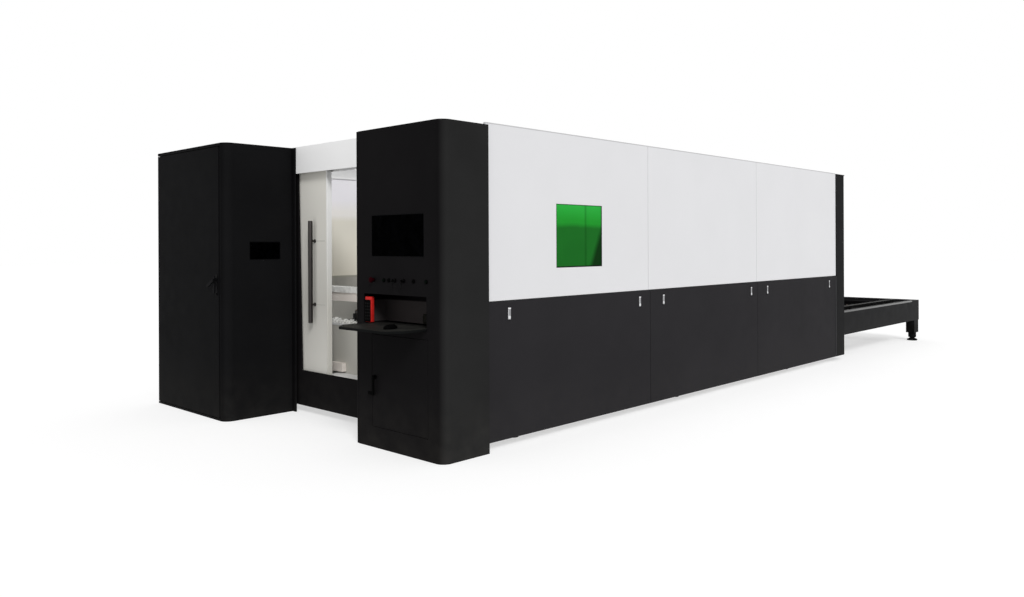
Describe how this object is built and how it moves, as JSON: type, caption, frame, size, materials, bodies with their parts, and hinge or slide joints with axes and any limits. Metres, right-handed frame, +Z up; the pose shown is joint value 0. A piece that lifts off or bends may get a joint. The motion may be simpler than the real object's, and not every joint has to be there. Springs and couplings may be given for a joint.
{
  "type": "fiber laser cutting machine",
  "caption": "Enclosed fiber laser sheet cutting machine: white and black cabin with gantry, console tower, electrical cabinet and sliding pallet table.",
  "frame": {"origin": "on the floor, at the middle of the whole machine's bounding box seen from above", "axes": "+X along the machine from the operator's end to the exchange table, +Y from the console side to the cabinet side, +Z up"},
  "size_m": [9.76, 3.52, 2.272],
  "materials": {
    "tower_black": "fine textured powder coat, near black",
    "cabinet_black": "fine textured powder coat, black",
    "panel_black": "fine textured powder coat, charcoal",
    "column_black": "powder coat, charcoal",
    "frame_black": "powder coat, charcoal",
    "panel_white": "smooth powder coat, cool white",
    "door_white": "smooth powder coat, warm white",
    "bed_grey": "two-pack paint, machine grey",
    "gantry_grey": "powder coat, light grey",
    "machined_steel": "ground and brushed",
    "slat_steel": "mill-finish steel with light slag",
    "zinc_plate": "zinc plated",
    "chrome_trim": "polished",
    "key_steel": "darkened steel",
    "window_green": "laser-safe tinted sheet",
    "screen_glass": "dark display glass",
    "black_plastic": "moulded plastic",
    "red_plastic": "moulded plastic, red",
    "pendant_red": "moulded plastic, red",
    "button_green": "moulded plastic, green",
    "handle_grey": "satin dark coat on tube",
    "source_grey": "powder coat, mid grey"
  },
  "bodies": {
    "machine": {"tower_shell": "tower_black", "tower_screen": "screen_glass", "control_collars": "black_plastic", "socket_box": "black_plastic", "cabinet_shell": "cabinet_black", "cabinet_display": "screen_glass", "drive_rack": "zinc_plate", "laser_source": "source_grey", "cabin_frame": "panel_white", "far_lining": "panel_white", "side_panel_1": "panel_white", "side_panel_2": "panel_white", "side_panel_3": "panel_white", "window_glass": "window_green", "far_upper_panels": "panel_white", "far_lower_panels": "panel_black", "end_columns": "column_black", "end_wall": "panel_white", "door_header": "panel_white", "door_sill": "cabinet_black", "front_panel": "panel_white", "machine_bed": "bed_grey", "cable_bridge": "panel_white", "slag_bins": "frame_black", "guide_rails": "machined_steel", "exchange_frame": "frame_black", "levelling_feet": "black_plastic"},
    "sliding_door": {"door_leaf": "door_white", "door_handle": "handle_grey"},
    "cabinet_door_body": {"cabinet_door": "cabinet_black"},
    "cabinet_handle_body": {"cabinet_door_handle": "black_plastic"},
    "tower_door_body": {"tower_door": "tower_black"},
    "tower_handle_body": {"tower_door_handle": "black_plastic"},
    "shelf": {"keyboard_shelf": "tower_black", "mouse": "black_plastic"},
    "pendant": {"hand_pendant": "pendant_red"},
    "e_stop": {"e_stop_button": "red_plastic"},
    "button_1": {"push_button_1": "button_green"},
    "button_2": {"push_button_2": "black_plastic"},
    "button_3": {"push_button_3": "black_plastic"},
    "button_4": {"push_button_4": "button_green"},
    "key_1": {"key_switch_1": "key_steel"},
    "key_2": {"key_switch_2": "key_steel"},
    "panel_1": {"lower_panel_1": "panel_black"},
    "latch_1_body": {"latch_1": "chrome_trim"},
    "latch_2_body": {"latch_2": "chrome_trim"},
    "panel_2": {"lower_panel_2": "panel_black"},
    "latch_3_body": {"latch_3": "chrome_trim"},
    "latch_4_body": {"latch_4": "chrome_trim"},
    "panel_3": {"lower_panel_3": "panel_black"},
    "latch_5_body": {"latch_5": "chrome_trim"},
    "latch_6_body": {"latch_6": "chrome_trim"},
    "gantry": {"gantry_beam": "gantry_grey"},
    "carriage": {"y_carriage": "bed_grey"},
    "head": {"z_slide": "machined_steel", "cutting_head": "black_plastic"},
    "upper_pallet": {"upper_pallet_frame": "frame_black", "upper_slats": "slat_steel"},
    "lower_pallet": {"lower_pallet_frame": "frame_black", "lower_slats": "slat_steel"}
  },
  "joints": [
    {"name": "door_slide", "type": "slide", "parent": "machine", "child": "sliding_door", "axis": [0, 1, 0], "range_m": [-0.9, 0.08]},
    {"name": "cabinet_door_swing", "type": "hinge", "parent": "machine", "child": "cabinet_door_body", "pos_m": [-4.802, 1.759, 1.131], "axis": [0, 0, -1], "range_deg": [0, 110]},
    {"name": "cabinet_handle_turn", "type": "hinge", "parent": "cabinet_door_body", "child": "cabinet_handle_body", "pos_m": [-4.857, 0.652, 1.15], "axis": [1, 0, 0], "range_deg": [0, 90]},
    {"name": "tower_door_swing", "type": "hinge", "parent": "machine", "child": "tower_door_body", "pos_m": [-4.52, -1.61, 0.475], "axis": [0, 0, 1], "range_deg": [0, 110]},
    {"name": "tower_handle_turn", "type": "hinge", "parent": "tower_door_body", "child": "tower_handle_body", "pos_m": [-4.54, -1.045, 0.5], "axis": [-1, 0, 0], "range_deg": [0, 90]},
    {"name": "shelf_slide", "type": "slide", "parent": "machine", "child": "shelf", "axis": [1, 0, 0], "range_m": [0, 0.2]},
    {"name": "pendant_lift_off", "type": "slide", "parent": "machine", "child": "pendant", "axis": [-1, 0, 0], "range_m": [0, 0.25]},
    {"name": "e_stop_press", "type": "slide", "parent": "machine", "child": "e_stop", "axis": [1, 0, 0], "range_m": [0, 0.006], "stiffness_N_per_m": 800},
    {"name": "button_1_press", "type": "slide", "parent": "machine", "child": "button_1", "axis": [1, 0, 0], "range_m": [0, 0.004], "stiffness_N_per_m": 600},
    {"name": "button_2_press", "type": "slide", "parent": "machine", "child": "button_2", "axis": [1, 0, 0], "range_m": [0, 0.004], "stiffness_N_per_m": 600},
    {"name": "button_3_press", "type": "slide", "parent": "machine", "child": "button_3", "axis": [1, 0, 0], "range_m": [0, 0.004], "stiffness_N_per_m": 600},
    {"name": "button_4_press", "type": "slide", "parent": "machine", "child": "button_4", "axis": [1, 0, 0], "range_m": [0, 0.004], "stiffness_N_per_m": 600},
    {"name": "key_1_turn", "type": "hinge", "parent": "machine", "child": "key_1", "pos_m": [-4.52, -1.27, 1.185], "axis": [1, 0, 0], "range_deg": [0, 60]},
    {"name": "key_2_turn", "type": "hinge", "parent": "machine", "child": "key_2", "pos_m": [-4.52, -1.365, 1.185], "axis": [1, 0, 0], "range_deg": [0, 60]},
    {"name": "lower_panel_1_lift_off", "type": "slide", "parent": "machine", "child": "panel_1", "axis": [0, -1, 0], "range_m": [0, 0.35]},
    {"name": "latch_1_pull", "type": "hinge", "parent": "panel_1", "child": "latch_1_body", "pos_m": [-3.864, -1.728, 0.981], "axis": [-1, 0, 0], "range_deg": [0, 40]},
    {"name": "latch_2_pull", "type": "hinge", "parent": "panel_1", "child": "latch_2_body", "pos_m": [-2.262, -1.728, 0.981], "axis": [-1, 0, 0], "range_deg": [0, 40]},
    {"name": "lower_panel_2_lift_off", "type": "slide", "parent": "machine", "child": "panel_2", "axis": [0, -1, 0], "range_m": [0, 0.35]},
    {"name": "latch_3_pull", "type": "hinge", "parent": "panel_2", "child": "latch_3_body", "pos_m": [-1.9, -1.728, 0.981], "axis": [-1, 0, 0], "range_deg": [0, 40]},
    {"name": "latch_4_pull", "type": "hinge", "parent": "panel_2", "child": "latch_4_body", "pos_m": [-0.285, -1.728, 0.981], "axis": [-1, 0, 0], "range_deg": [0, 40]},
    {"name": "lower_panel_3_lift_off", "type": "slide", "parent": "machine", "child": "panel_3", "axis": [0, -1, 0], "range_m": [0, 0.35]},
    {"name": "latch_5_pull", "type": "hinge", "parent": "panel_3", "child": "latch_5_body", "pos_m": [0.07, -1.728, 0.981], "axis": [-1, 0, 0], "range_deg": [0, 40]},
    {"name": "latch_6_pull", "type": "hinge", "parent": "panel_3", "child": "latch_6_body", "pos_m": [1.66, -1.728, 0.981], "axis": [-1, 0, 0], "range_deg": [0, 40]},
    {"name": "gantry_travel", "type": "slide", "parent": "machine", "child": "gantry", "axis": [1, 0, 0], "range_m": [-0.15, 3.35]},
    {"name": "carriage_travel", "type": "slide", "parent": "gantry", "child": "carriage", "axis": [0, 1, 0], "range_m": [-0.98, 0.98]},
    {"name": "head_travel", "type": "slide", "parent": "carriage", "child": "head", "axis": [0, 0, 1], "range_m": [-0.09, 0.04]},
    {"name": "upper_pallet_travel", "type": "slide", "parent": "machine", "child": "upper_pallet", "axis": [1, 0, 0], "range_m": [0, 4.95]},
    {"name": "lower_pallet_travel", "type": "slide", "parent": "machine", "child": "lower_pallet", "axis": [1, 0, 0], "range_m": [-4.95, 0]}
  ]
}
